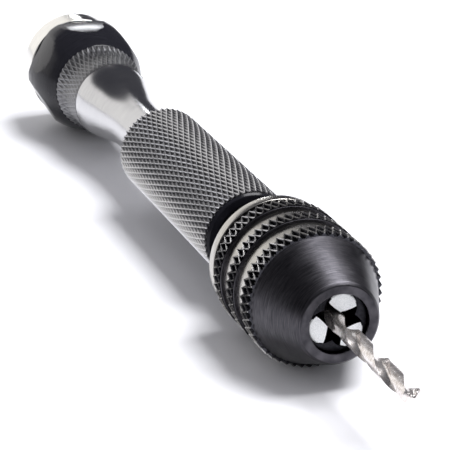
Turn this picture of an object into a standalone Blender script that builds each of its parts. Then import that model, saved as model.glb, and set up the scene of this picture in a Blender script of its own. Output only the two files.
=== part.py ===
"""Mini hand drill (pin vise): a keyless three-jaw chuck on a knurled handle with a swivelling end cap.

The tool lies along X with its nose towards +X. Dimensions are in millimetres and become metres where a
mesh or an object is placed. A station is a distance behind the nose face along the tool's axis. Every
piece hangs on the empty tool_axis, whose local +Z runs from the nose face towards the tail and whose
local +X points up, so a station is a local Z and a radius is a local X.
"""

import math

import bmesh
import bpy

MM = 0.001
FINE_STEPS = 48
COARSE_STEPS = 32
MERGE_DISTANCE = 0.00001

# Twist drill
DRILL_RADIUS = 1.25
DRILL_REACH = 23.5
DRILL_LENGTH = 57.0
DRILL_POINT_HALF_ANGLE = 59.0
FLUTE_PITCH = 18.0
FLUTE_LENGTH = 24.0
FLUTE_RADIUS = 0.74
FLUTE_OFFSET = 1.12
FLUTE_POINTS_PER_TURN = 16

# Chuck sleeve
SLEEVE_RADIUS = 9.5
GROOVE_RADIUS = 9.0
SLEEVE_END = 22.6
NOSE_FACE_RADIUS = 5.22
NOSE_CHAMFER_RADIUS = 5.62
NOSE_CHAMFER = 0.45
BAND_STARTS = (8.4, 13.8, 18.9)
BAND_WIDTH = 2.8
BAND_CHAMFER = 0.15
MOUTH_RADIUS = 4.13
MOUTH_DEPTH = 0.6
CAVITY_RADIUS = 8.3
CAVITY_START = 8.6

# Jaws
JAW_RADIUS = 2.0
JAW_TILT = 14.0
JAW_FRONT = 0.7
JAW_BACK = 11.3
JAW_FRONT_OFFSET = 2.05
JAW_ANGLES = (15.0, 135.0, 255.0)
JAW_GRIP_GAP = 0.02
JAW_BORE_GAP = 0.06
JAW_TRAVEL = 3.0

# Chuck body
BODY_FRONT = 0.9
BODY_BORE_RADIUS = 1.6
BODY_CONE_GAP = 0.2
NUT_GROOVE_START = 8.2
NUT_GROOVE_RADIUS = 5.2
FLANGE_START = 13.35
FLANGE_RADIUS = 8.1
NECK_RADIUS = 5.2
NECK_END = 32.5
STUD_RADIUS = 3.0
STUD_END = 40.0

# Nut, thrust bearing and rear collar
NUT_START = 8.7
NUT_END = 11.0
NUT_RADIUS = 8.2
NUT_CONE_GAP = 0.12
NUT_SPLIT = 0.3
RACE_INNER_RADIUS = 7.33
RACE_OUTER_RADIUS = 8.18
RACE_THICKNESS = 0.5
FRONT_RACE_START = 11.08
THRUST_BALL_RADIUS = 0.5
THRUST_BALL_CIRCLE = 7.74
THRUST_BALLS = 12
RUNNING_GAP = 0.05
COLLAR_START = 22.9
COLLAR_END = 24.6
COLLAR_RADIUS = 9.07
COLLAR_SEAT_RADIUS = 6.6

# Handle
HANDLE_START = 32.6
GRIP_RADIUS = 6.76
GRIP_CHAMFER = 0.4
GRIP_END = 72.8
WAIST = ((73.0, 5.4), (74.5, 4.6), (78.0, 4.25), (84.0, 4.25), (88.5, 4.5), (93.0, 5.2), (97.0, 6.1),
         (99.0, 6.4))
FLARE = ((104.0, 6.4), (107.0, 7.5), (109.5, 8.3), (111.5, 8.85), (113.3, 9.2))
KNOB_RADIUS = 9.4
KNOB_ACROSS_FLATS = 17.4
KNOB_END = 118.0
KNOB_CHAMFER = 0.6
STUD_HOLE_RADIUS = 3.1
STUD_HOLE_END = 42.0
RECESS_RADIUS = 6.4
RECESS_START = 115.5
BOSS_RADIUS = 2.3
SCREW_HOLE_RADIUS = 1.5
SCREW_HOLE_START = 106.0

# Swivelling end cap
CAP_RADIUS = 8.7
CAP_FLANGE_START = 118.35
CAP_END = 124.5
HUB_RADIUS = 6.2
HUB_START = 115.8
HUB_BORE_RADIUS = 2.9
BEARING_START = 116.65
BEARING_WIDTH = 2.0
BEARING_SEAT_RADIUS = 3.55
BEARING_OUTER_RADIUS = 3.5
BEARING_OUTER_BORE = 2.95
BEARING_INNER_RADIUS = 2.15
BEARING_INNER_BORE = 1.55
BEARING_BALL_RADIUS = 0.37
BEARING_BALLS = 7
HEAD_SPACE_RADIUS = 3.8
PLUG_SEAT_RADIUS = 5.2
PLUG_SEAT_START = 123.0
PLUG_GAP = 0.05
WASHER_THICKNESS = 0.4
SCREW_RADIUS = 1.42
SCREW_HEAD_RADIUS = 2.6
SCREW_HEAD_HEIGHT = 1.4
SCREW_END = 107.5
SOCKET_RADIUS = 1.15
SOCKET_DEPTH = 0.8

NOSE_X = (CAP_END - DRILL_REACH) / 2


def start_empty():
    """Remove every object and give back the collections for the parts and for the cutters."""
    for item in list(bpy.data.objects):
        bpy.data.objects.remove(item, do_unlink=True)
    parts = bpy.data.collections.new("hand_drill")
    cutters = bpy.data.collections.new("cutters")
    bpy.context.scene.collection.children.link(parts)
    bpy.context.scene.collection.children.link(cutters)
    return parts, cutters


PARTS, CUTTERS = start_empty()


def empty(name, parent=None, location=(0, 0, 0), rotation=(0, 0, 0)):
    """An empty placed in millimetres and degrees."""
    item = bpy.data.objects.new(name, None)
    item.empty_display_size = 5 * MM
    PARTS.objects.link(item)
    place(item, parent, location, rotation)
    return item


def place(item, parent, location=(0, 0, 0), rotation=(0, 0, 0)):
    item.parent = parent
    item.location = [value * MM for value in location]
    item.rotation_euler = [math.radians(value) for value in rotation]


def material(name, colour, roughness, metallic):
    surface = bpy.data.materials.new(name)
    surface.use_nodes = True
    shader = surface.node_tree.nodes["Principled BSDF"]
    shader.inputs["Base Color"].default_value = (*colour, 1)
    shader.inputs["Roughness"].default_value = roughness
    shader.inputs["Metallic"].default_value = metallic
    return surface


def finish(item, surface, as_cutter=False):
    """Shade round faces smooth, then file the object as a part or as a hidden cutter."""
    for collection in list(item.users_collection):
        collection.objects.unlink(item)
    if as_cutter:
        CUTTERS.objects.link(item)
        item.display_type = "WIRE"
        item.hide_render = True
        return item
    PARTS.objects.link(item)
    item.data.materials.clear()
    item.data.materials.append(surface)
    item.data.shade_smooth()
    item.data.set_sharp_from_angle(angle=math.radians(35))
    return item


def turned(name, outline, surface, steps=FINE_STEPS, closed=True, as_cutter=False):
    """Turn an outline of (station, radius) points, listed nose to tail along its outer side."""
    mesh = bpy.data.meshes.new(name)
    points = [(radius * MM, 0, station * MM) for station, radius in reversed(outline)]
    edges = [(index, index + 1) for index in range(len(points) - 1)]
    if closed:
        edges.append((len(points) - 1, 0))
    mesh.from_pydata(points, edges, [])
    item = bpy.data.objects.new(name, mesh)
    PARTS.objects.link(item)
    screw = item.modifiers.new("turn", "SCREW")
    screw.axis = "Z"
    screw.angle = math.tau
    screw.steps = steps
    screw.render_steps = steps
    screw.use_merge_vertices = True
    screw.merge_threshold = MERGE_DISTANCE
    place(item, TOOL_AXIS)
    return finish(item, surface, as_cutter)


def ring(name, start, end, inner, outer, surface, steps=FINE_STEPS):
    """A plain ring between two stations."""
    return turned(name, [(start, inner), (start, outer), (end, outer), (end, inner)], surface, steps)


def cylinder(name, radius, start, end, surface, parent, vertices=COARSE_STEPS, as_cutter=False):
    """A cylinder along the parent's local Z, from start to end."""
    bpy.ops.mesh.primitive_cylinder_add(vertices=vertices, radius=radius * MM, depth=(end - start) * MM)
    item = bpy.context.object
    item.name = name
    item.data.name = name
    place(item, parent, (0, 0, (start + end) / 2))
    return finish(item, surface, as_cutter)


def curve_to_mesh(curve_object, name, parent, location=(0, 0, 0), rotation=(0, 0, 0)):
    """Replace a curve by a welded mesh that can cut, filed with the cutters."""
    bpy.context.view_layer.update()
    evaluated = curve_object.evaluated_get(bpy.context.evaluated_depsgraph_get())
    mesh = bpy.data.meshes.new_from_object(evaluated)
    solid = bmesh.new()
    solid.from_mesh(mesh)
    bmesh.ops.remove_doubles(solid, verts=solid.verts, dist=MERGE_DISTANCE)
    bmesh.ops.recalc_face_normals(solid, faces=solid.faces)
    solid.to_mesh(mesh)
    solid.free()
    item = bpy.data.objects.new(name, mesh)
    CUTTERS.objects.link(item)
    bpy.data.objects.remove(curve_object, do_unlink=True)
    place(item, parent, location, rotation)
    return finish(item, None, as_cutter=True)


def prism(name, corners, start, end, angle):
    """A cutter with a flat outline across the tool's axis, turned about it by an angle."""
    curve = bpy.data.curves.new(name, "CURVE")
    curve.dimensions = "2D"
    curve.fill_mode = "BOTH"
    curve.extrude = (end - start) / 2 * MM
    spline = curve.splines.new("POLY")
    spline.points.add(len(corners) - 1)
    for point, (across, along) in zip(spline.points, corners):
        point.co = (across * MM, along * MM, 0, 1)
    spline.use_cyclic_u = True
    flat = bpy.data.objects.new(name + "_outline", curve)
    CUTTERS.objects.link(flat)
    return curve_to_mesh(flat, name, TOOL_AXIS, (0, 0, (start + end) / 2), (0, 0, angle))


def tube(name, path, radius):
    """A cutter along a path of points, eight-sided."""
    curve = bpy.data.curves.new(name, "CURVE")
    curve.dimensions = "3D"
    curve.bevel_depth = radius * MM
    curve.bevel_resolution = 2
    curve.use_fill_caps = True
    spline = curve.splines.new("POLY")
    spline.points.add(len(path) - 1)
    for point, place_mm in zip(spline.points, path):
        point.co = (*[value * MM for value in place_mm], 1)
    line = bpy.data.objects.new(name + "_path", curve)
    CUTTERS.objects.link(line)
    return curve_to_mesh(line, name, TOOL_AXIS)


def boolean(item, cutter, operation):
    change = item.modifiers.new(operation.lower() + "_" + cutter.name, "BOOLEAN")
    change.operation = operation
    change.solver = "EXACT"
    change.object = cutter


def ball(name, radius, circle, station, angle, surface):
    bpy.ops.mesh.primitive_ico_sphere_add(subdivisions=2, radius=radius * MM)
    item = bpy.context.object
    item.name = name
    item.data.name = name
    turn = math.radians(angle)
    place(item, TOOL_AXIS, (circle * math.cos(turn), circle * math.sin(turn), station), (0, 0, angle))
    return finish(item, surface)


def jaw_reach(station):
    """Radius of the circle that the three jaws' outer sides touch at a station."""
    slope = math.tan(math.radians(JAW_TILT))
    half_width = JAW_RADIUS / math.cos(math.radians(JAW_TILT))
    return JAW_FRONT_OFFSET + (station - JAW_FRONT) * slope + half_width


def cavity_radius(station):
    """Radius of the sleeve's inner cone at a station."""
    slope = (CAVITY_RADIUS - MOUTH_RADIUS) / (CAVITY_START - MOUTH_DEPTH)
    return MOUTH_RADIUS + (station - MOUTH_DEPTH) * slope


def make_chuck_sleeve(surface):
    outline = [(0, MOUTH_RADIUS), (0, NOSE_FACE_RADIUS), (NOSE_CHAMFER, NOSE_CHAMFER_RADIUS)]
    for start in BAND_STARTS:
        outline += [
            (start, GROOVE_RADIUS),
            (start + BAND_CHAMFER, SLEEVE_RADIUS),
            (start + BAND_WIDTH - BAND_CHAMFER, SLEEVE_RADIUS),
            (start + BAND_WIDTH, GROOVE_RADIUS),
        ]
    outline += [
        (SLEEVE_END, GROOVE_RADIUS),
        (SLEEVE_END, CAVITY_RADIUS),
        (CAVITY_START, CAVITY_RADIUS),
        (MOUTH_DEPTH, MOUTH_RADIUS),
    ]
    return turned("chuck_sleeve", outline, surface)


def make_jaws(surface):
    """Three inclined rods, each with a 120 degree wedge side that meets the drill."""
    slant = math.cos(math.radians(JAW_TILT))
    length = (JAW_BACK - JAW_FRONT) / slant
    apex = DRILL_RADIUS + JAW_GRIP_GAP
    reach = 4 * JAW_RADIUS
    half_angle = math.radians(60)
    corners = [
        (apex, 0),
        (apex + reach * math.cos(half_angle), reach * math.sin(half_angle)),
        (apex + reach * math.cos(half_angle), -reach * math.sin(half_angle)),
    ]
    bores = []
    for number, angle in enumerate(JAW_ANGLES, start=1):
        turn = math.radians(angle)
        offset = (JAW_FRONT_OFFSET * math.cos(turn), JAW_FRONT_OFFSET * math.sin(turn), JAW_FRONT)
        slide = empty(f"jaw_{number}_slide", TOOL_AXIS, offset, (0, JAW_TILT, angle))
        jaw = cylinder(f"jaw_{number}", JAW_RADIUS, -JAW_RADIUS, length, surface, slide)
        wedge = prism(f"jaw_{number}_wedge", corners, JAW_FRONT, JAW_BACK + JAW_RADIUS, angle)
        boolean(jaw, wedge, "INTERSECT")
        bore_end = length + JAW_TRAVEL + JAW_BORE_GAP
        bore = cylinder(f"jaw_{number}_bore", JAW_RADIUS + JAW_BORE_GAP, -2 * JAW_RADIUS, bore_end, None,
                        slide, as_cutter=True)
        bores.append(bore)
    return bores


def make_chuck_body(surface, jaw_bores):
    """Steel core: nose, nut groove, flange, collar seat, neck and stud, bored for the jaws and the drill."""
    outline = [
        (BODY_FRONT, BODY_BORE_RADIUS),
        (BODY_FRONT, cavity_radius(BODY_FRONT) - BODY_CONE_GAP),
        (NUT_GROOVE_START, cavity_radius(NUT_GROOVE_START) - BODY_CONE_GAP),
        (NUT_GROOVE_START, NUT_GROOVE_RADIUS),
        (FLANGE_START, NUT_GROOVE_RADIUS),
        (FLANGE_START, FLANGE_RADIUS),
        (COLLAR_START - RUNNING_GAP, FLANGE_RADIUS),
        (COLLAR_START - RUNNING_GAP, COLLAR_SEAT_RADIUS - RUNNING_GAP),
        (COLLAR_END, COLLAR_SEAT_RADIUS - RUNNING_GAP),
        (COLLAR_END, NECK_RADIUS),
        (NECK_END, NECK_RADIUS),
        (NECK_END, STUD_RADIUS),
        (STUD_END, STUD_RADIUS),
        (STUD_END, BODY_BORE_RADIUS),
    ]
    body = turned("chuck_body", outline, surface)
    for bore in jaw_bores:
        boolean(body, bore, "DIFFERENCE")
    return body


def make_nut_halves(surface):
    """Split ring whose inner cone runs on the jaws' outer sides."""
    outline = [
        (NUT_START, jaw_reach(NUT_START) + NUT_CONE_GAP),
        (NUT_START, NUT_RADIUS),
        (NUT_END, NUT_RADIUS),
        (NUT_END, jaw_reach(NUT_END) + NUT_CONE_GAP),
    ]
    reach = 2 * NUT_RADIUS
    for number, angle in ((1, 0), (2, 180)):
        half = turned(f"jaw_nut_half_{number}", outline, surface)
        corners = [(NUT_SPLIT / 2, -reach), (reach, -reach), (reach, reach), (NUT_SPLIT / 2, reach)]
        side = prism(f"jaw_nut_half_{number}_side", corners, NUT_START - 1, NUT_END + 1, angle)
        boolean(half, side, "INTERSECT")


def make_thrust_bearing(race_surface, ball_surface):
    ball_station = FRONT_RACE_START + RACE_THICKNESS + RUNNING_GAP + THRUST_BALL_RADIUS
    rear_race_start = ball_station + THRUST_BALL_RADIUS + RUNNING_GAP
    for name, start in (("thrust_race_front", FRONT_RACE_START), ("thrust_race_rear", rear_race_start)):
        ring(name, start, start + RACE_THICKNESS, RACE_INNER_RADIUS, RACE_OUTER_RADIUS, race_surface)
    for index in range(THRUST_BALLS):
        angle = 360 * index / THRUST_BALLS
        ball(f"thrust_ball_{index + 1:02d}", THRUST_BALL_RADIUS, THRUST_BALL_CIRCLE, ball_station, angle,
             ball_surface)


def make_rear_collar(surface):
    edge = 0.15
    outline = [
        (COLLAR_START, COLLAR_SEAT_RADIUS),
        (COLLAR_START, COLLAR_RADIUS - edge),
        (COLLAR_START + edge, COLLAR_RADIUS),
        (COLLAR_END - edge, COLLAR_RADIUS),
        (COLLAR_END, COLLAR_RADIUS - edge),
        (COLLAR_END, COLLAR_SEAT_RADIUS),
    ]
    turned("rear_collar", outline, surface)


def make_handle(surface):
    """Grip, waist, flare and six-sided knob, with the stud hole in front and the cap's recess behind."""
    outline = [
        (HANDLE_START, STUD_HOLE_RADIUS),
        (HANDLE_START, GRIP_RADIUS - GRIP_CHAMFER),
        (HANDLE_START + GRIP_CHAMFER, GRIP_RADIUS),
        (GRIP_END, GRIP_RADIUS),
        *WAIST,
        *FLARE,
        (KNOB_END - KNOB_CHAMFER * 5, KNOB_RADIUS),
        (KNOB_END - KNOB_CHAMFER, KNOB_RADIUS),
        (KNOB_END, KNOB_RADIUS - KNOB_CHAMFER),
        (KNOB_END, RECESS_RADIUS),
        (RECESS_START, RECESS_RADIUS),
        (RECESS_START, BOSS_RADIUS),
        (BEARING_START - RUNNING_GAP, BOSS_RADIUS),
        (BEARING_START - RUNNING_GAP, SCREW_HOLE_RADIUS),
        (SCREW_HOLE_START, SCREW_HOLE_RADIUS),
        (SCREW_HOLE_START - SCREW_HOLE_RADIUS / 2, 0),
    ]
    front_hole = [(STUD_HOLE_END, 0), (STUD_HOLE_END, STUD_HOLE_RADIUS)]
    handle = turned("handle", front_hole + outline, surface, closed=False)
    corner_radius = KNOB_ACROSS_FLATS / 2 / math.cos(math.radians(30))
    hexagon = cylinder("knob_hexagon", corner_radius, HANDLE_START - 1, KNOB_END + 1, None, TOOL_AXIS,
                       vertices=6, as_cutter=True)
    boolean(handle, hexagon, "INTERSECT")


def make_twist_drill(surface):
    point_length = DRILL_RADIUS / math.tan(math.radians(DRILL_POINT_HALF_ANGLE))
    shank_end = DRILL_LENGTH - DRILL_REACH
    outline = [
        (-DRILL_REACH, 0),
        (-DRILL_REACH + point_length, DRILL_RADIUS),
        (shank_end - 0.2, DRILL_RADIUS),
        (shank_end, DRILL_RADIUS - 0.2),
        (shank_end, 0),
    ]
    drill = turned("twist_drill", outline, surface, COARSE_STEPS, closed=False)
    for number, phase in ((1, 0), (2, 180)):
        boolean(drill, tube(f"flute_{number}", flute_path(phase), FLUTE_RADIUS), "DIFFERENCE")


def flute_path(phase):
    """Right-hand helix from ahead of the point to the run-out, where it lifts out of the drill."""
    turns = FLUTE_LENGTH / FLUTE_PITCH
    count = round(turns * FLUTE_POINTS_PER_TURN)
    run_out = FLUTE_POINTS_PER_TURN // 4
    path = []
    for index in range(-1, count + run_out):
        angle = math.radians(phase + 360 * index / FLUTE_POINTS_PER_TURN)
        offset = FLUTE_OFFSET + max(0, index - count) * 2 * FLUTE_RADIUS / run_out
        station = FLUTE_PITCH * index / FLUTE_POINTS_PER_TURN - DRILL_REACH
        path.append((offset * math.cos(angle), offset * math.sin(angle), station))
    return path


def make_end_cap(surface):
    edge = 0.4
    outline = [
        (HUB_START, HUB_BORE_RADIUS),
        (HUB_START, HUB_RADIUS),
        (CAP_FLANGE_START, HUB_RADIUS),
        (CAP_FLANGE_START, CAP_RADIUS - edge),
        (CAP_FLANGE_START + edge, CAP_RADIUS),
        (CAP_END - 1.2, CAP_RADIUS),
        (CAP_END - 0.4, CAP_RADIUS - 0.5),
        (CAP_END, CAP_RADIUS - 1.6),
        (CAP_END, PLUG_SEAT_RADIUS),
        (PLUG_SEAT_START, PLUG_SEAT_RADIUS),
        (PLUG_SEAT_START, HEAD_SPACE_RADIUS),
        (BEARING_START + BEARING_WIDTH, HEAD_SPACE_RADIUS),
        (BEARING_START + BEARING_WIDTH, BEARING_SEAT_RADIUS),
        (BEARING_START - RUNNING_GAP, BEARING_SEAT_RADIUS),
        (BEARING_START - RUNNING_GAP, HUB_BORE_RADIUS),
    ]
    turned("end_cap", outline, surface)
    plug = [
        (PLUG_SEAT_START + PLUG_GAP, 0),
        (PLUG_SEAT_START + PLUG_GAP, PLUG_SEAT_RADIUS - PLUG_GAP),
        (CAP_END, PLUG_SEAT_RADIUS - PLUG_GAP),
        (CAP_END, 0),
    ]
    turned("cap_plug", plug, surface, closed=False)


def make_swivel_bearing(ring_surface, ball_surface):
    end = BEARING_START + BEARING_WIDTH
    ring("bearing_outer_ring", BEARING_START, end, BEARING_OUTER_BORE, BEARING_OUTER_RADIUS,
         ring_surface, COARSE_STEPS)
    ring("bearing_inner_ring", BEARING_START, end, BEARING_INNER_BORE, BEARING_INNER_RADIUS,
         ring_surface, COARSE_STEPS)
    circle = (BEARING_OUTER_BORE + BEARING_INNER_RADIUS) / 2
    station = BEARING_START + BEARING_WIDTH / 2
    for index in range(BEARING_BALLS):
        angle = 360 * index / BEARING_BALLS
        ball(f"bearing_ball_{index + 1}", BEARING_BALL_RADIUS, circle, station, angle, ball_surface)


def make_swivel_screw(surface, washer_surface):
    washer_start = BEARING_START + BEARING_WIDTH + RUNNING_GAP
    head_start = washer_start + WASHER_THICKNESS + RUNNING_GAP
    head_end = head_start + SCREW_HEAD_HEIGHT
    ring("swivel_washer", washer_start, washer_start + WASHER_THICKNESS, BEARING_INNER_BORE, BOSS_RADIUS,
         washer_surface, COARSE_STEPS)
    outline = [
        (SCREW_END, 0),
        (SCREW_END, SCREW_RADIUS),
        (head_start, SCREW_RADIUS),
        (head_start, SCREW_HEAD_RADIUS),
        (head_end - 0.3, SCREW_HEAD_RADIUS),
        (head_end, SCREW_HEAD_RADIUS - 0.3),
        (head_end, 0),
    ]
    screw = turned("swivel_screw", outline, surface, COARSE_STEPS, closed=False)
    socket = cylinder("screw_socket", SOCKET_RADIUS, head_end - SOCKET_DEPTH, head_end + 1, None, TOOL_AXIS,
                      vertices=6, as_cutter=True)
    boolean(screw, socket, "DIFFERENCE")


TOOL_AXIS = empty("tool_axis", None, (NOSE_X, 0, SLEEVE_RADIUS), (0, -90, 0))

black_satin = material("black_anodised_satin", (0.035, 0.035, 0.042), 0.38, 0.9)
black_knurl = material("black_anodised_handle", (0.06, 0.06, 0.065), 0.3, 0.9)
black_steel = material("blackened_steel", (0.012, 0.012, 0.014), 0.45, 0.8)
pale_jaw = material("sandblasted_jaw_steel", (0.72, 0.73, 0.72), 0.6, 0.6)
drill_steel = material("drill_steel", (0.62, 0.56, 0.5), 0.25, 1.0)
bright_steel = material("bright_steel", (0.7, 0.7, 0.7), 0.2, 1.0)
cap_metal = material("polished_cap", (0.8, 0.78, 0.74), 0.22, 1.0)

make_chuck_sleeve(black_satin)
make_chuck_body(black_steel, make_jaws(pale_jaw))
make_nut_halves(bright_steel)
make_thrust_bearing(bright_steel, bright_steel)
make_rear_collar(bright_steel)
make_handle(black_knurl)
make_twist_drill(drill_steel)
make_end_cap(cap_metal)
make_swivel_bearing(bright_steel, bright_steel)
make_swivel_screw(bright_steel, bright_steel)
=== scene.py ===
"""The looks of the mini hand drill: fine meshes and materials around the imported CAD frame.

Lengths are millimetres until a point is placed. A station is a distance behind the nose face along the
tool's axis, and an angle runs from straight up towards +Y.
"""

import math

import bmesh
import bpy
from mathutils import Euler, Matrix, Vector


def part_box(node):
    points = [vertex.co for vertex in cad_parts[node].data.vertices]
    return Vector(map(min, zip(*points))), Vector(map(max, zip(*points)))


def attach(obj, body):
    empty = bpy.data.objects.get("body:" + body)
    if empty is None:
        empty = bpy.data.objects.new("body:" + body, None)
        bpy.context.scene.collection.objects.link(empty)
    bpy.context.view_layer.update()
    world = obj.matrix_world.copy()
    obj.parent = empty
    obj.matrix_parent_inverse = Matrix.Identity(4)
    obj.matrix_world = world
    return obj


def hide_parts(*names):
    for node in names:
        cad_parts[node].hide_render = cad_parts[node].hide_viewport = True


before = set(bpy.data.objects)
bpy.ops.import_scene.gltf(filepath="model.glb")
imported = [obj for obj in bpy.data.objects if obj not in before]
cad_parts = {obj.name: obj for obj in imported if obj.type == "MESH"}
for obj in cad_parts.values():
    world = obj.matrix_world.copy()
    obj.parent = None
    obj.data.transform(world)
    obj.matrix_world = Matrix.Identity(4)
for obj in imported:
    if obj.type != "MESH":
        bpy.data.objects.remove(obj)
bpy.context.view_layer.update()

SCENE = bpy.context.scene
MM = 0.001
WHITE = (1.0, 1.0, 1.0)

# ---------------------------------------------------------------------------------------------------
# Sizes read from the frame
# ---------------------------------------------------------------------------------------------------
NOSE_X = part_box("chuck_sleeve")[1].x
AXIS_Z = (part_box("chuck_sleeve")[0].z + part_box("chuck_sleeve")[1].z) / 2


def front(node):
    """Station of a node's nose end."""
    return (NOSE_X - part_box(node)[1].x) / MM


def back(node):
    """Station of a node's tail end."""
    return (NOSE_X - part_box(node)[0].x) / MM


def half_height(node):
    """Half of a node's height in millimetres, which is a turned piece's radius."""
    low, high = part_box(node)
    return (high.z - low.z) / 2 / MM


SLEEVE_RADIUS = half_height("chuck_sleeve")
SLEEVE_END = back("chuck_sleeve")
DRILL_RADIUS = half_height("twist_drill")
DRILL_TIP = front("twist_drill")
DRILL_END = back("twist_drill")
BODY_FRONT = front("chuck_body")
STUD_END = back("chuck_body")
FLANGE_RADIUS = half_height("chuck_body")
HANDLE_START = front("handle")
HANDLE_END = back("handle")
KNOB_FLAT = half_height("handle")
COLLAR_START = front("rear_collar")
COLLAR_END = back("rear_collar")
COLLAR_RADIUS = half_height("rear_collar")
HUB_START = front("end_cap")
CAP_END = back("end_cap")
CAP_RADIUS = half_height("end_cap")
PLUG_START = front("cap_plug")
PLUG_RADIUS = half_height("cap_plug")
JAW_FRONT = front("jaw_1")
JAW_BACK = back("jaw_1")

# ---------------------------------------------------------------------------------------------------
# Shapes inside those sizes
# ---------------------------------------------------------------------------------------------------
NOSE_FACE_RADIUS = 5.3
NOSE_CHAMFER_RADIUS = 5.7
NOSE_CHAMFER = 0.45
MOUTH_RADIUS = 4.13
MOUTH_DEPTH = 0.6
CAVITY_RADIUS = 8.3
CAVITY_START = 8.6
GROOVE_RADIUS = 8.92
BAND_STARTS = (8.4, 13.8, 18.9)
BAND_WIDTH = 2.8
BAND_EDGE = 0.03
BAND_LEAD = 0.12
SLEEVE_KNURL_STARTS = 51
SLEEVE_KNURL_ROWS = 2
SLEEVE_KNURL_DEPTH = 0.5
SLEEVE_KNURL_FLOOR = 0.36

JAW_RADIUS = 2.2
JAW_TILT = 14.0
JAW_OFFSET = 1.8
JAW_ANGLES = (15.0, 135.0, 255.0)
JAW_APEX = 1.27
JAW_EDGE = 0.12
JAW_WEDGE_HALF = 60.0
JAW_ROUNDING = 12
JAW_POINTS = 72
JAW_BORE_GAP = 0.06
JAW_TRAVEL = 3.0

BODY_BORE_RADIUS = 1.6
BODY_CONE_GAP = 0.2
NUT_GROOVE_START = 8.2
NUT_GROOVE_RADIUS = 5.2
FLANGE_START = 13.35
COLLAR_SEAT_RADIUS = 6.6
COLLAR_GAP = 0.05
NECK_RADIUS = 5.2
NECK_END = 32.5
STUD_RADIUS = 3.0

GRIP_RADIUS = 6.76
GRIP_START = 33.0
GRIP_END = 72.8
GRIP_KNURL_STARTS = 50
GRIP_KNURL_ROWS = 30
GRIP_KNURL_DEPTH = 0.3
GRIP_KNURL_FLOOR = 0.3
WAIST = ((73.2, 5.3), (74.5, 4.6), (78.0, 4.25), (84.0, 4.25), (88.5, 4.5), (93.0, 5.2), (97.0, 6.0),
         (98.9, 6.27))
LAND_START = 99.2
LAND_RADIUS = 6.4
LAND_KNURL_DEPTH = 0.13
LAND_END = 107.0
LAND_KNURL_ROWS = 6
FLARE_START = 104.0
FLARE = ((107.1, 7.3), (109.3, 8.2), (111.3, 8.8), (113.3, 9.2), (115.2, 9.4))
KNOB_RADIUS = 9.4
KNOB_CHAMFER = 0.6
FLAT_CROWN = 0.2
STUD_HOLE_RADIUS = 3.1
STUD_HOLE_END = 42.0
RECESS_START = 115.5
RECESS_RADIUS = 6.4
BOSS_RADIUS = 2.3
BOSS_END = 116.6
SCREW_HOLE_RADIUS = 1.5
SCREW_HOLE_START = 106.0

CAP_FLANGE_START = 118.35
HUB_RADIUS = 6.2
HUB_BORE_RADIUS = 2.9
PLUG_SEAT_RADIUS = 5.2
PLUG_SEAT_START = 123.0
HEAD_SPACE_RADIUS = 3.8
BEARING_SEAT_RADIUS = 3.55
BEARING_SEAT_START = 116.6
BEARING_SEAT_END = 118.65

FLUTE_PITCH = 18.6
FLUTE_RADIUS = 0.78
WEB_RADIUS = 0.32
FLUTE_END = 1.0
FLUTE_RUN_OUT = 3.0
DRILL_PHASE = -14.0
POINT_HALF_ANGLE = 59.0


def spot(station, radius, angle):
    """A point in metres."""
    turn = math.radians(angle)
    return Vector((
        NOSE_X - station * MM,
        radius * math.sin(turn) * MM,
        AXIS_Z + radius * math.cos(turn) * MM,
    ))


def tool_matrix(angle=0.0):
    """Places local +Z towards the tail and local +X at an angle round the tool's axis."""
    turned = Matrix.Rotation(math.radians(-90), 4, "Y") @ Matrix.Rotation(math.radians(angle), 4, "Z")
    return Matrix.Translation((NOSE_X, 0, AXIS_Z)) @ turned


# ---------------------------------------------------------------------------------------------------
# Mesh building
# ---------------------------------------------------------------------------------------------------
def rounded(outline, steps=3):
    """Round each (station, radius, cut) corner by a curve that starts one cut away from it."""
    points = []
    count = len(outline)
    for index, corner in enumerate(outline):
        here = Vector(corner[:2])
        if len(corner) < 3:
            points.append(tuple(here))
            continue
        before = Vector(outline[index - 1][:2]) - here
        after = Vector(outline[(index + 1) % count][:2]) - here
        start = here + before.normalized() * min(corner[2], before.length * 0.45)
        end = here + after.normalized() * min(corner[2], after.length * 0.45)
        for step in range(steps + 1):
            part = step / steps
            point = start * (1 - part) ** 2 + here * 2 * part * (1 - part) + end * part ** 2
            points.append(tuple(point))
    return points


def through(points, steps=6):
    """Points on a smooth curve through the given ones (Catmull-Rom)."""
    ends = [points[0], *points, points[-1]]
    result = []
    for index in range(1, len(ends) - 2):
        a, b, c, d = (Vector(ends[index + shift]) for shift in (-1, 0, 1, 2))
        for step in range(steps):
            t = step / steps
            bend = (2 * a - 5 * b + 4 * c - d) * t ** 2 + (3 * b - a - 3 * c + d) * t ** 3
            result.append(tuple(0.5 * (2 * b + (c - a) * t + bend)))
    result.append(tuple(points[-1]))
    return result


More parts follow.
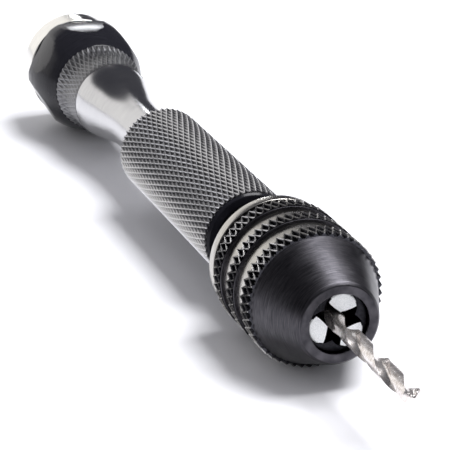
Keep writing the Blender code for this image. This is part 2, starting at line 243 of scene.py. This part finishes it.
class Lathe:
    """A turned mesh built ring by ring, nose to tail along its outer side, with knurled bands.

    Each stretch has one of the piece's surfaces, which are materials.
    """

    def __init__(self, columns, *surfaces):
        self.mesh = bmesh.new()
        # Per-vertex mark, 1 at the knurls' ridge crossings and 0 elsewhere; the knurl materials make it
        # rubbed bare metal with a painted highlight at the crossings and painted shade in the pits.
        self.wear_and_shade = self.mesh.verts.layers.float.new("wear_and_shade")
        self.columns = columns
        self.surfaces = surfaces
        self.surface = surfaces[0]
        self.first = None
        self.last = None

    def vertex(self, station, radius, column, wear_and_shade=0.0):
        vert = self.mesh.verts.new(spot(station, radius, 360 * column / self.columns))
        vert[self.wear_and_shade] = wear_and_shade
        return vert

    def face(self, *corners):
        unique = list(dict.fromkeys(corners))
        if len(unique) > 2:
            self.mesh.faces.new(unique).material_index = self.surfaces.index(self.surface)

    def ring(self, station, radius, wear_and_shade=0.0):
        if radius == 0:
            verts = [self.vertex(station, 0, 0)] * self.columns
        else:
            verts = [self.vertex(station, radius, column, wear_and_shade) for column in range(self.columns)]
        if self.last:
            self.bridge(self.last, verts)
        self.first = self.first or verts
        self.last = verts

    def bridge(self, ring_a, ring_b):
        for column in range(self.columns):
            after = (column + 1) % self.columns
            self.face(ring_a[column], ring_a[after], ring_b[after], ring_b[column])

    def outline(self, points, surface=None):
        self.surface = surface or self.surface
        for station, radius in points:
            self.ring(station, radius)

    def knurl(self, start, end, rows, crest, depth, floor, surface):
        """A band of diamond pits in a raised net. Its ends join plain rings.

        crest gives the net's radius at a station, and floor is the flat's share of a pit. Grid points
        with an even row + column are crossings of the net's ridges, and the others are pit middles.
        """
        self.surface = surface
        count = self.columns
        length = (end - start) / rows
        crossings = {}
        pits = {}
        for row in range(rows + 1):
            here = start + row * length
            for column in range(count):
                if (row + column) % 2 == 0:
                    # Crossings get 1: rubbed metal and a painted highlight. Pit corners get 0: painted shade.
                    crossings[row, column] = self.vertex(here, crest(here), column, 1)
                    continue
                corners = {
                    "left": self.vertex(here, crest(here) - depth, column - floor),
                    "right": self.vertex(here, crest(here) - depth, column + floor),
                }
                for name, shift, exists in (("front", -floor, row > 0), ("back", floor, row < rows)):
                    if exists:
                        place = here + shift * length
                        corners[name] = self.vertex(place, crest(place) - depth, column)
                pits[row, column] = corners
        self.toothed_wall(self.last, crossings, pits, 0)
        for (row, column), corner in pits.items():
            left = crossings[row, (column - 1) % count]
            right = crossings[row, (column + 1) % count]
            if row > 0:
                ahead = crossings[row - 1, column]
                self.face(left, ahead, corner["front"], corner["left"])
                self.face(ahead, right, corner["right"], corner["front"])
            if row < rows:
                behind = crossings[row + 1, column]
                self.face(right, behind, corner["back"], corner["right"])
                self.face(behind, left, corner["left"], corner["back"])
            self.face(*[corner[name] for name in ("left", "front", "right", "back") if name in corner])
        closing = [self.vertex(end + 0.02, crest(end) - depth - 0.02, column) for column in range(count)]
        self.toothed_wall(closing, crossings, pits, rows)
        self.last = closing

    def toothed_wall(self, ring, crossings, pits, row):
        """Join a plain ring to the toothed edge of a knurled band."""
        count = self.columns
        for column in range(count):
            if (row, column) not in pits:
                continue
            before = (column - 1) % count
            after = (column + 1) % count
            corner = pits[row, column]
            edge = [crossings[row, before], corner["left"], corner["right"], crossings[row, after]]
            corners = edge + [ring[after], ring[column], ring[before]]
            self.face(*(corners if row else corners[::-1]))

    def finish(self, name, closed=True):
        if closed:
            self.bridge(self.last, self.first)
        return as_object(self.mesh, name, self.surfaces)


def as_object(mesh, name, surfaces, smooth=30):
    data = bpy.data.meshes.new(name)
    mesh.to_mesh(data)
    mesh.free()
    item = bpy.data.objects.new(name, data)
    SCENE.collection.objects.link(item)
    for surface in surfaces:
        data.materials.append(surface)
    shade(item, smooth)
    return item


def shade(item, smooth):
    item.data.shade_smooth()
    item.data.set_sharp_from_angle(angle=math.radians(smooth))


def loft(sections):
    """A closed mesh through equal-length sections, listed nose to tail."""
    mesh = bmesh.new()
    rings = [[mesh.verts.new(point) for point in section] for section in sections]
    count = len(rings[0])
    for ring_a, ring_b in zip(rings, rings[1:]):
        for index in range(count):
            after = (index + 1) % count
            mesh.faces.new((ring_a[index], ring_a[after], ring_b[after], ring_b[index]))
    mesh.faces.new(rings[0][::-1])
    mesh.faces.new(rings[-1])
    return mesh


def boolean(item, cutter, operation, smooth=30):
    change = item.modifiers.new("cut", "BOOLEAN")
    change.operation = operation
    change.solver = "EXACT"
    change.object = cutter
    bpy.context.view_layer.update()
    evaluated = item.evaluated_get(bpy.context.evaluated_depsgraph_get())
    data = bpy.data.meshes.new_from_object(evaluated)
    item.modifiers.clear()
    item.data = data
    bpy.data.objects.remove(cutter, do_unlink=True)
    shade(item, smooth)


def dress(item, body, slot, *nodes):
    """Let a piece ride on its body and stand for its CAD nodes."""
    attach(item, body)
    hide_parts(*nodes)


# ---------------------------------------------------------------------------------------------------
# Materials
# ---------------------------------------------------------------------------------------------------
def mix_colours(tree, factor, low, high):
    """Mix two colours by a factor. Each may be a tuple or a socket."""
    node = tree.nodes.new("ShaderNodeMix")
    node.data_type = "RGBA"
    tree.links.new(factor, node.inputs["Factor"])
    for name, colour in (("A", low), ("B", high)):
        if isinstance(colour, tuple):
            node.inputs[name].default_value = (*colour, 1)
        else:
            tree.links.new(colour, node.inputs[name])
    return node.outputs["Result"]


class Surface:
    """A Principled material with helpers for its procedural detail. Texture lengths are millimetres."""

    def __init__(self, name, metallic=1.0, anisotropic=0.0):
        self.material = bpy.data.materials.new(name)
        self.material.use_nodes = True
        self.tree = self.material.node_tree
        self.nodes = self.tree.nodes
        self.links = self.tree.links
        self.shader = self.nodes["Principled BSDF"]
        self.shader.inputs["Metallic"].default_value = metallic
        if anisotropic:
            self.shader.inputs["Anisotropic"].default_value = anisotropic
            tangent = self.nodes.new("ShaderNodeTangent")
            tangent.direction_type = "RADIAL"
            tangent.axis = "X"
            self.links.new(tangent.outputs["Tangent"], self.shader.inputs["Tangent"])

    def noise(self, size, stretch=(1, 1, 1), detail=2.0):
        """Noise with features of a size along X, drawn out along Y and Z."""
        source = self.nodes.new("ShaderNodeTexCoord")
        mapping = self.nodes.new("ShaderNodeMapping")
        mapping.inputs["Scale"].default_value = [1 / (size * MM * pull) for pull in stretch]
        texture = self.nodes.new("ShaderNodeTexNoise")
        texture.inputs["Scale"].default_value = 1
        texture.inputs["Detail"].default_value = detail
        self.links.new(source.outputs["Object"], mapping.inputs["Vector"])
        self.links.new(mapping.outputs["Vector"], texture.inputs["Vector"])
        return texture.outputs["Fac"]

    def attribute(self, name):
        node = self.nodes.new("ShaderNodeAttribute")
        node.attribute_name = name
        return node.outputs["Fac"]

    def spread(self, factor, low, high, start=0.3, end=0.7):
        """Map a factor between start and end to values from low to high."""
        node = self.nodes.new("ShaderNodeMapRange")
        node.inputs["From Min"].default_value = start
        node.inputs["From Max"].default_value = end
        node.inputs["To Min"].default_value = low
        node.inputs["To Max"].default_value = high
        self.links.new(factor, node.inputs["Value"])
        return node.outputs["Result"]

    def mix(self, factor, low, high):
        return mix_colours(self.tree, factor, low, high)

    def colour(self, socket):
        self.links.new(socket, self.shader.inputs["Base Color"])

    def roughness(self, socket):
        self.links.new(socket, self.shader.inputs["Roughness"])

    def bump(self, height, depth, strength=1.0):
        node = self.nodes.new("ShaderNodeBump")
        node.inputs["Distance"].default_value = depth * MM
        node.inputs["Strength"].default_value = strength
        self.links.new(height, node.inputs["Height"])
        self.links.new(node.outputs["Normal"], self.shader.inputs["Normal"])


LATHE_MARKS = (1, 14, 14)
COATING_SPECULAR = 0.15


def turned_metal(name, dark, light, roughness, marks=0.12, depth=0.003, anisotropic=0.5, metallic=1.0):
    """Metal with the fine lines of a lathe or a brush round the tool's axis."""
    surface = Surface(name, metallic, anisotropic)
    surface.shader.inputs["Specular IOR Level"].default_value = COATING_SPECULAR
    lines = surface.noise(marks, LATHE_MARKS, 3.0)
    surface.colour(surface.mix(surface.spread(lines, 0, 1), dark, light))
    patches = surface.noise(2.2, (1, 1.6, 1.6), 2.0)
    surface.roughness(surface.spread(patches, *roughness))
    surface.bump(lines, depth)
    return surface.material


def knurled_metal(name, valley, crest, roughness, wear_and_shade_start):
    """Knurled metal, light where the net's ridges cross and dark in the pits: rubbed bare metal with a
    painted highlight at the crossings, and painted shade in the pits.
    """
    surface = Surface(name)
    grime = surface.noise(0.5, detail=3.0)
    # Light at the ridge crossings, rubbed metal and a painted highlight; dark towards the pits, painted
    # shade.
    wear_and_shade_mask = surface.spread(surface.attribute("wear_and_shade"), 0, 1, wear_and_shade_start, 1.0)
    tone = surface.mix(surface.spread(grime, 0, 1), valley, tuple(value * 1.6 for value in valley))
    surface.colour(surface.mix(wear_and_shade_mask, tone, crest))
    surface.roughness(surface.spread(grime, *roughness))
    surface.bump(grime, 0.01)
    return surface.material


def plain_metal(name, dark, light, roughness, grain=0.3, depth=0.002, metallic=1.0):
    """Metal with an even grain and slight changes of tone."""
    surface = Surface(name, metallic)
    speckle = surface.noise(grain, detail=4.0)
    surface.colour(surface.mix(surface.spread(speckle, 0, 1), dark, light))
    surface.roughness(surface.spread(surface.noise(1.8), *roughness))
    surface.bump(speckle, depth)
    return surface.material


# ---------------------------------------------------------------------------------------------------
# Camera, floor and light
# ---------------------------------------------------------------------------------------------------
CAMERA_LENS = 185.3
CAMERA_FROM_NOSE = (250.2, -104.2, 116.0)
CAMERA_RIGHT = (0.3343, 0.9425, 0.0)
CAMERA_FORWARD = (-0.8814, 0.3126, -0.3541)
FLOOR_RADIUS = 1.5
DARK_ROOM = (0.065, 0.065, 0.077)
BACKDROP = (1.15, 1.13, 1.12)
SCATTERED = (0.46, 0.46, 0.48)


def make_camera():
    data = bpy.data.cameras.new("camera")
    data.lens = CAMERA_LENS
    data.sensor_width = 36
    data.clip_start = 0.01
    data.clip_end = 20
    camera = bpy.data.objects.new("camera", data)
    SCENE.collection.objects.link(camera)
    right = Vector(CAMERA_RIGHT).normalized()
    forward = Vector(CAMERA_FORWARD).normalized()
    up = right.cross(forward).normalized()
    place = Vector((NOSE_X, 0, AXIS_Z)) + Vector(CAMERA_FROM_NOSE) * MM
    turn = Matrix((right, up, -forward)).transposed().to_4x4()
    camera.matrix_world = Matrix.Translation(place) @ turn
    SCENE.camera = camera


def area_light(name, place, size, power, colour):
    """A rectangular light aimed at the middle of the floor."""
    data = bpy.data.lights.new(name, "AREA")
    data.shape = "RECTANGLE"
    data.size, data.size_y = size
    data.energy = power
    data.color = colour
    lamp = bpy.data.objects.new(name, data)
    SCENE.collection.objects.link(lamp)
    lamp.location = place
    lamp.rotation_euler = (-Vector(place)).to_track_quat("-Z", "Y").to_euler()
    lamp.visible_camera = False


def make_floor():
    """A wide pale round table top at height zero."""
    surface = Surface("pale_table", metallic=0.0)
    mottle = surface.noise(30)
    surface.colour(surface.mix(mottle, (0.86, 0.86, 0.89), (0.9, 0.9, 0.92)))
    surface.roughness(surface.spread(mottle, 0.5, 0.6))
    mesh = bmesh.new()
    bmesh.ops.create_circle(mesh, cap_ends=True, segments=96, radius=FLOOR_RADIUS)
    floor = as_object(mesh, "floor", [surface.material])


def make_world():
    """White behind the object. Reflections see a dark room with a pale backdrop low behind it."""
    world = bpy.data.worlds.new("studio")
    SCENE.world = world
    world.use_nodes = True
    tree = world.node_tree
    nodes = tree.nodes
    links = tree.links
    direction = nodes.new("ShaderNodeTexCoord")
    axes = nodes.new("ShaderNodeSeparateXYZ")
    links.new(direction.outputs["Generated"], axes.inputs["Vector"])

    def ramp(socket, start, end):
        node = nodes.new("ShaderNodeMapRange")
        node.interpolation_type = "SMOOTHSTEP"
        node.inputs["From Min"].default_value = start
        node.inputs["From Max"].default_value = end
        links.new(socket, node.inputs["Value"])
        return node.outputs["Result"]

    def product(first, second):
        node = nodes.new("ShaderNodeMath")
        node.operation = "MULTIPLY"
        links.new(first, node.inputs[0])
        links.new(second, node.inputs[1])
        return node.outputs["Value"]

    above = ramp(axes.outputs["Z"], -0.05, -0.02)
    below = ramp(axes.outputs["Z"], 0.56, 0.44)
    behind = ramp(axes.outputs["X"], -0.35, -0.6)
    left = ramp(axes.outputs["Y"], 0.32, 0.08)
    backdrop = product(product(above, below), product(behind, left))
    path = nodes.new("ShaderNodeLightPath")
    reflected = mix_colours(tree, backdrop, DARK_ROOM, BACKDROP)
    scattered = mix_colours(tree, path.outputs["Is Diffuse Ray"], reflected, SCATTERED)
    seen = mix_colours(tree, path.outputs["Is Camera Ray"], scattered, WHITE)
    links.new(seen, nodes["Background"].inputs["Color"])


def make_lights():
    area_light("softbox", (0.03, 0.28, 0.71), (0.46, 0.38), 8.8, (0.98, 0.98, 1.0))
    area_light("rear_lamp", (-0.80, 0.21, 0.24), (0.055, 0.06), 0.13, (0.95, 0.97, 1.0))


# ---------------------------------------------------------------------------------------------------
# Pieces
# ---------------------------------------------------------------------------------------------------
def constant(value):
    return lambda station: value


def cavity_radius(station):
    """Radius of the sleeve's inner cone."""
    slope = (CAVITY_RADIUS - MOUTH_RADIUS) / (CAVITY_START - MOUTH_DEPTH)
    return MOUTH_RADIUS + (station - MOUTH_DEPTH) * slope


def make_sleeve(satin, knurled, bare):
    """The turned cone and its three knurled bands, with bare metal on the grooves' floors."""
    lathe = Lathe(2 * SLEEVE_KNURL_STARTS, satin, knurled, bare)
    lathe.outline(rounded([
        (MOUTH_DEPTH, MOUTH_RADIUS),
        (0, MOUTH_RADIUS, 0.1),
        (0, NOSE_FACE_RADIUS, 0.1),
        (NOSE_CHAMFER, NOSE_CHAMFER_RADIUS, 0.12),
        (BAND_STARTS[0], GROOVE_RADIUS),
    ]), satin)
    for start in BAND_STARTS:
        lead = BAND_EDGE
        if start != BAND_STARTS[0]:
            lathe.outline([(start, GROOVE_RADIUS)], bare)
            lathe.outline([
                (start + BAND_EDGE, SLEEVE_RADIUS - 0.2),
                (start + BAND_LEAD, SLEEVE_RADIUS - 0.1),
            ], satin)
            lead = BAND_LEAD + 0.04
        end = start + BAND_WIDTH
        lathe.knurl(start + lead, end - 0.05, SLEEVE_KNURL_ROWS, constant(SLEEVE_RADIUS),
                    SLEEVE_KNURL_DEPTH, SLEEVE_KNURL_FLOOR, knurled)
        lathe.outline([(end, GROOVE_RADIUS)], satin)
    lathe.outline([
        (SLEEVE_END, GROOVE_RADIUS - 0.15),
        (SLEEVE_END, CAVITY_RADIUS),
        (CAVITY_START, CAVITY_RADIUS),
    ])
    dress(lathe.finish("sleeve_shell"), "sleeve", "sleeve_black", "chuck_sleeve")


def jaw_matrix(angle):
    """The slide of a jaw: local +Z runs along the tilted rod."""
    turn = Euler((0, math.radians(JAW_TILT), math.radians(angle))).to_matrix().to_4x4()
    bearing = math.radians(angle)
    place = Vector((JAW_OFFSET * math.cos(bearing), JAW_OFFSET * math.sin(bearing), JAW_FRONT)) * MM
    return tool_matrix() @ Matrix.Translation(place) @ turn


def rod(name, radius, start, end, placed, surface, segments=64):
    """A plain rod along the local +Z of a placed matrix."""
    mesh = bmesh.new()
    middle = Matrix.Translation((0, 0, (start + end) / 2 * MM))
    bmesh.ops.create_cone(mesh, cap_ends=True, segments=segments, radius1=radius * MM, radius2=radius * MM,
                          depth=(end - start) * MM, matrix=placed @ middle)
    return as_object(mesh, name, [surface])


def jaw_section(station, inset, placed):
    """One cross-section of a jaw: a round rod cut to a 120-degree wedge, with rounded corners."""
    centre = JAW_OFFSET + (station - JAW_FRONT) * math.tan(math.radians(JAW_TILT))
    reach = (centre - JAW_APEX) * math.sin(math.radians(JAW_WEDGE_HALF))
    points = []
    for index in range(JAW_POINTS):
        angle = 360 * index / JAW_POINTS
        limits = [JAW_RADIUS]
        for side in (-1, 1):
            facing = math.sin(math.radians(side * angle - JAW_WEDGE_HALF))
            if facing > 0:
                limits.append(reach / facing)
        size = sum(limit ** -JAW_ROUNDING for limit in limits) ** (-1 / JAW_ROUNDING) - inset
        turn = math.radians(angle)
        corner = Vector((centre + size * math.cos(turn), size * math.sin(turn), station))
        points.append(placed @ (corner * MM))
    return points


def make_jaws(face, side):
    """Three inclined rods with a wedge towards the drill. Only their front faces are bare."""
    outline = [(JAW_FRONT, JAW_EDGE), (JAW_FRONT + JAW_EDGE, 0), (JAW_BACK, 0)]
    for number, angle in enumerate(JAW_ANGLES, start=1):
        placed = tool_matrix(angle)
        mesh = loft([jaw_section(station, inset, placed) for station, inset in outline])
        mesh.normal_update()
        surfaces = [side, face]
        for polygon in mesh.faces:
            towards_nose = polygon.normal.x > 0.75
            polygon.material_index = surfaces.index(face if towards_nose else side)
        jaw = as_object(mesh, f"jaw_{number}_ground", surfaces)
        dress(jaw, f"jaw_{number}", "jaw_steel", f"jaw_{number}")


def make_chuck_body(black):
    """The core behind the sleeve: nose cone, nut groove, flange, neck and stud, with three inclined bores."""
    nose = cavity_radius(BODY_FRONT) - BODY_CONE_GAP
    shoulder = cavity_radius(NUT_GROOVE_START) - BODY_CONE_GAP
    flange_end = COLLAR_START - COLLAR_GAP
    lathe = Lathe(96, black)
    lathe.outline(rounded([
        (BODY_FRONT, BODY_BORE_RADIUS),
        (BODY_FRONT, nose, 0.1),
        (NUT_GROOVE_START, shoulder),
        (NUT_GROOVE_START, NUT_GROOVE_RADIUS),
        (FLANGE_START, NUT_GROOVE_RADIUS),
        (FLANGE_START, FLANGE_RADIUS, 0.15),
        (flange_end, FLANGE_RADIUS, 0.15),
        (flange_end, COLLAR_SEAT_RADIUS - COLLAR_GAP),
        (COLLAR_END, COLLAR_SEAT_RADIUS - COLLAR_GAP, 0.1),
        (COLLAR_END, NECK_RADIUS, 0.4),
        (NECK_END, NECK_RADIUS, 0.15),
        (NECK_END, STUD_RADIUS),
        (STUD_END, STUD_RADIUS, 0.3),
        (STUD_END, BODY_BORE_RADIUS),
    ]))
    body = lathe.finish("chuck_core")
    tilt = math.radians(JAW_TILT)
    jaw_length = (JAW_BACK - JAW_FRONT) / math.cos(tilt) + JAW_RADIUS * math.tan(tilt)
    bore_end = jaw_length + JAW_TRAVEL + 2 * JAW_BORE_GAP
    for angle in JAW_ANGLES:
        bore = rod("bore", JAW_RADIUS + JAW_BORE_GAP, -2 * JAW_RADIUS, bore_end, jaw_matrix(angle), black)
        boolean(body, bore, "DIFFERENCE")
    dress(body, "handle", "black_steel", "chuck_body")


def make_collar(bare):
    """The narrow ring between the sleeve and the neck."""
    lathe = Lathe(128, bare)
    lathe.outline(rounded([
        (COLLAR_START, COLLAR_SEAT_RADIUS, 0.1),
        (COLLAR_START, COLLAR_RADIUS, 0.2),
        (COLLAR_END, COLLAR_RADIUS, 0.3),
        (COLLAR_END, COLLAR_SEAT_RADIUS, 0.1),
    ]))
    dress(lathe.finish("collar_ring"), "handle", "bright_steel", "rear_collar")


def land_crest(station):
    """Crest radius of the knurled land behind the waist, which rises into the flare."""
    rise = max(0.0, (station - FLARE_START) / (LAND_END - FLARE_START))
    return LAND_RADIUS + (FLARE[0][1] + 0.05 - LAND_RADIUS) * rise ** 1.4


def make_handle(knurled, polished, gloss, fine):
    """One bar: the knurled grip, polished waist, fine land, flare and knob, cut to six sides at the end."""
    surfaces = (knurled, polished, gloss, fine)
    lathe = Lathe(2 * GRIP_KNURL_STARTS, *surfaces)
    lathe.outline([(STUD_HOLE_END, 0), (STUD_HOLE_END, STUD_HOLE_RADIUS)], polished)
    lathe.outline(rounded([
        (HANDLE_START + 1, STUD_HOLE_RADIUS),
        (HANDLE_START, STUD_HOLE_RADIUS, 0.2),
        (HANDLE_START, GRIP_RADIUS - 0.55, 0.1),
        (GRIP_START - 0.02, GRIP_RADIUS - 0.25),
    ]), gloss)
    lathe.knurl(GRIP_START, GRIP_END, GRIP_KNURL_ROWS, constant(GRIP_RADIUS), GRIP_KNURL_DEPTH,
                GRIP_KNURL_FLOOR, knurled)
    lathe.outline([(GRIP_END + 0.15, GRIP_RADIUS - GRIP_KNURL_DEPTH - 0.2)], polished)
    lathe.outline(through(WAIST))
    lathe.knurl(LAND_START, LAND_END, LAND_KNURL_ROWS, land_crest, LAND_KNURL_DEPTH, GRIP_KNURL_FLOOR, fine)
    lathe.outline(through(FLARE), gloss)
    lathe.outline(rounded([
        (HANDLE_END - 2, KNOB_RADIUS),
        (HANDLE_END - KNOB_CHAMFER, KNOB_RADIUS, 0.3),
        (HANDLE_END, KNOB_RADIUS - KNOB_CHAMFER, 0.3),
        (HANDLE_END, RECESS_RADIUS, 0.1),
        (RECESS_START, RECESS_RADIUS),
        (RECESS_START, BOSS_RADIUS),
        (BOSS_END, BOSS_RADIUS),
        (BOSS_END, SCREW_HOLE_RADIUS),
        (SCREW_HOLE_START, SCREW_HOLE_RADIUS),
    ]))
    lathe.ring(SCREW_HOLE_START - SCREW_HOLE_RADIUS / 2, 0)
    handle = lathe.finish("handle_bar", closed=False)
    prism = knob_prism()
    for polygon in prism.faces:
        polygon.material_index = surfaces.index(gloss)
    boolean(handle, as_object(prism, "knob_prism", surfaces), "INTERSECT")
    dress(handle, "handle", "handle_black", "handle")


def knob_prism(points_per_side=10):
    """Six slightly crowned sides, also crowned along the knob."""
    middle = (FLARE[1][0] + HANDLE_END) / 2
    reach = HANDLE_END - middle
    stations = [HANDLE_START - 1, FLARE[0][0]]
    while stations[-1] < HANDLE_END + 0.5:
        stations.append(stations[-1] + 1)
    sections = []
    for station in stations:
        flat = KNOB_FLAT - FLAT_CROWN * min(1.0, abs(station - middle) / reach) ** 2
        section = []
        for index in range(6 * points_per_side):
            side, part = divmod(index, points_per_side)
            offset = 2 * part / points_per_side - 1
            across = flat * math.tan(math.radians(30)) * offset
            height = flat - FLAT_CROWN * offset ** 2
            angle = 60 * side + math.degrees(math.atan2(across, height))
            section.append(spot(station, math.hypot(across, height), angle))
        sections.append(section)
    return loft(sections)


def flute_section(station, twist, limit, depth_loss):
    """One cross-section of the drill: a circle with two round flutes, no wider than limit."""
    centre = WEB_RADIUS + FLUTE_RADIUS + depth_loss
    points = []
    count = 72
    for index in range(count):
        angle = 360 * index / count
        size = DRILL_RADIUS
        for flute in (0, 180):
            off = math.radians(angle - flute)
            inside = FLUTE_RADIUS ** 2 - (centre * math.sin(off)) ** 2
            if inside > 0 and math.cos(off) > 0:
                size = min(size, centre * math.cos(off) - math.sqrt(inside))
        points.append(spot(station, min(size, limit), angle + twist))
    return points


def make_drill(steel):
    """Two flutes along a right-hand helix, ending in a cone point."""
    slope = math.tan(math.radians(POINT_HALF_ANGLE))
    stations = [DRILL_TIP + 0.01 + 0.08 * index for index in range(11)]
    while stations[-1] < FLUTE_END + FLUTE_RUN_OUT:
        stations.append(stations[-1] + 0.22)
    sections = []
    for station in stations:
        fade = max(0.0, (station - FLUTE_END) / FLUTE_RUN_OUT)
        twist = DRILL_PHASE + 360 * (station - DRILL_TIP) / FLUTE_PITCH
        limit = (station - DRILL_TIP) * slope
        sections.append(flute_section(station, twist, limit, fade * 2 * FLUTE_RADIUS))
    plain = 2 * FLUTE_RADIUS
    sections.append(flute_section(DRILL_END - 0.2, twist, DRILL_RADIUS, plain))
    sections.append(flute_section(DRILL_END, twist, DRILL_RADIUS - 0.2, plain))
    drill = as_object(loft(sections), "fluted_drill", [steel], 35)
    dress(drill, "drill", "drill_steel", "twist_drill")


def make_cap(bright):
    """The cap's shell, which rides on the bearing, and the disc that closes it."""
    lathe = Lathe(96, bright)
    lathe.outline(rounded([
        (HUB_START, HUB_BORE_RADIUS),
        (HUB_START, HUB_RADIUS, 0.15),
        (CAP_FLANGE_START, HUB_RADIUS),
        (CAP_FLANGE_START, CAP_RADIUS, 0.15),
        (CAP_END - 1.4, CAP_RADIUS, 0.7),
        (CAP_END, CAP_RADIUS - 1.6, 0.9),
        (CAP_END, PLUG_SEAT_RADIUS, 0.12),
        (PLUG_SEAT_START, PLUG_SEAT_RADIUS),
        (PLUG_SEAT_START, HEAD_SPACE_RADIUS),
        (BEARING_SEAT_END, HEAD_SPACE_RADIUS),
        (BEARING_SEAT_END, BEARING_SEAT_RADIUS),
        (BEARING_SEAT_START, BEARING_SEAT_RADIUS),
        (BEARING_SEAT_START, HUB_BORE_RADIUS),
    ], steps=5))
    dress(lathe.finish("cap_shell"), "cap", "cap_metal", "end_cap")
    disc = Lathe(96, bright)
    disc.ring(PLUG_START, 0)
    disc.outline(rounded([
        (PLUG_START, PLUG_RADIUS * 0.5),
        (PLUG_START, PLUG_RADIUS, 0.1),
        (CAP_END, PLUG_RADIUS, 0.15),
        (CAP_END, PLUG_RADIUS * 0.5),
    ]))
    disc.ring(CAP_END, 0)
    dress(disc.finish("cap_disc", closed=False), "cap", "cap_metal", "cap_plug")


SCENE.view_settings.view_transform = "Standard"
make_camera()
make_floor()
make_world()
make_lights()

black_satin = turned_metal("black_satin", (0.035, 0.034, 0.039), (0.085, 0.082, 0.09), (0.3, 0.4))
# Valley colours are painted shade in the pits, and crest colours are rubbed metal with a painted highlight;
# the sleeve's dark valley is also its black finish.
black_knurl = knurled_metal("black_knurl", (0.035, 0.035, 0.04), (0.6, 0.59, 0.57), (0.22, 0.32), 0.62)
bare_metal = turned_metal("bare_turned", (0.4, 0.385, 0.355), (0.57, 0.555, 0.52), (0.22, 0.32), 0.1, 0.004)
black_oxide = plain_metal("black_oxide", (0.012, 0.012, 0.014), (0.03, 0.03, 0.034), (0.35, 0.5))
# The grip's and the land's dark valleys are painted shade in the pits, and their light crests are a painted
# highlight on rubbed metal.
grip_knurl = knurled_metal("grip_knurl", (0.08, 0.08, 0.086), (0.72, 0.72, 0.73), (0.25, 0.35), 0.45)
land_knurl = knurled_metal("land_knurl", (0.12, 0.12, 0.125), (0.26, 0.26, 0.265), (0.35, 0.45), 0.4)
polished_bar = turned_metal("polished_bar", (0.5, 0.5, 0.51), (0.58, 0.58, 0.58), (0.14, 0.2), 0.15,
                            0.0008, 0.2)
gloss_black = turned_metal("gloss_black", (0.009, 0.009, 0.012), (0.014, 0.014, 0.018), (0.14, 0.2), 0.15,
                           0.0005, 0.1, 0.0)
jaw_face = plain_metal("jaw_face", (0.72, 0.74, 0.74), (0.96, 0.97, 0.97), (0.5, 0.65), 0.14, 0.02, 0.2)
drill_steel = plain_metal("drill_steel", (0.62, 0.56, 0.52), (0.98, 0.95, 0.93), (0.18, 0.3), 0.35, 0.006,
                          0.88)
cap_metal = turned_metal("cap_metal", (0.74, 0.73, 0.69), (0.84, 0.83, 0.79), (0.14, 0.2), 0.15, 0.0008, 0.2)
inner_steel = plain_metal("inner_steel", (0.5, 0.5, 0.5), (0.68, 0.68, 0.66), (0.2, 0.3))

make_sleeve(black_satin, black_knurl, bare_metal)
make_jaws(jaw_face, black_oxide)
make_chuck_body(black_oxide)
make_collar(bare_metal)
make_handle(grip_knurl, polished_bar, gloss_black, land_knurl)
make_drill(drill_steel)
make_cap(cap_metal)
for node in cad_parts.values():
    for slot in node.material_slots:
        slot.material = inner_steel
